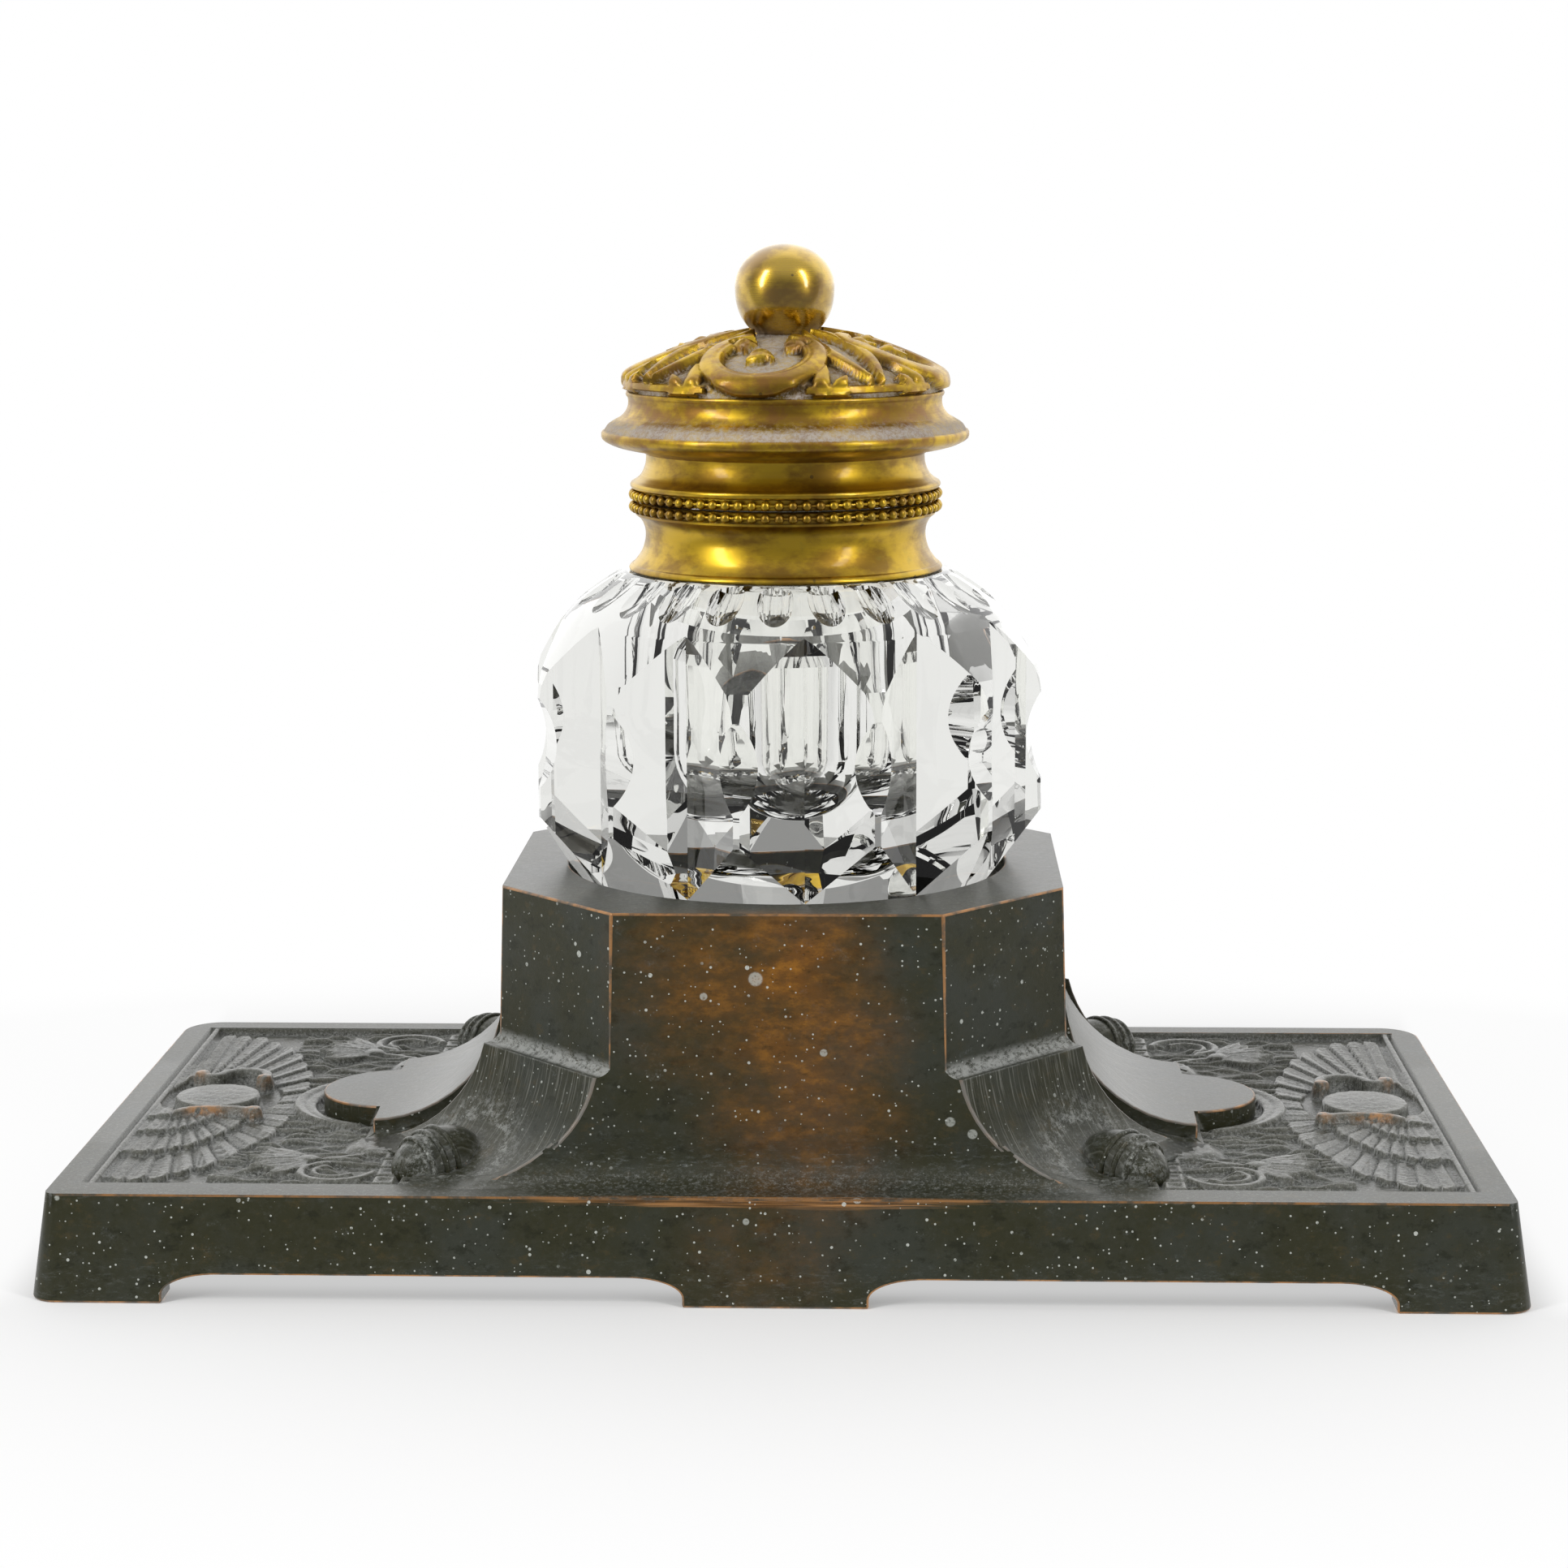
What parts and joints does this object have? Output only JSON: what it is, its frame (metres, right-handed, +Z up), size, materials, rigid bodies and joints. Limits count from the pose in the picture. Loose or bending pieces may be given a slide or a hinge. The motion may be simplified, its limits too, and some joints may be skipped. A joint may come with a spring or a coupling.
{
  "type": "desk inkstand",
  "caption": "Bronze desk inkstand: relief tray on feet with an octagonal block that holds a cut-crystal ink bottle with a hinged, domed brass lid.",
  "frame": {"origin": "middle of the tray's footprint, on the desk", "axes": "+X along the tray to the right, +Y to the back where the lid's hinge is, +Z up"},
  "size_m": [0.2156, 0.1054, 0.1494],
  "materials": {
    "bronze": "dark brown-green patina, worn to copper on the edges",
    "crystal": "clear cut and polished crystal",
    "plaster": "matt plaster",
    "brass": "aged polished brass",
    "cast_brass": "aged cast brass with grey dust in the hollows"
  },
  "bodies": {
    "base": {"base_casting": "bronze"},
    "bottle": {"ink_bottle": "crystal", "neck_plaster": "plaster", "collar": "brass", "collar_bead_ring": "brass", "collar_hinge_leaf": "brass", "hinge_pin": "brass"},
    "lid": {"lid_hinge_leaf": "brass", "lid_bead_ring": "brass", "lid_band": "brass", "lid_cover": "cast_brass", "finial_ball": "brass", "finial_stud": "brass", "finial_nut": "brass"}
  },
  "joints": [
    {"name": "bottle_lift", "type": "slide", "parent": "base", "child": "bottle", "axis": [0, 0, 1], "range_m": [0, 0.055]},
    {"name": "lid_hinge", "type": "hinge", "parent": "bottle", "child": "lid", "pos_m": [0, 0.02603, 0.11095], "axis": [-1, 0, 0], "range_deg": [0, 100]}
  ]
}
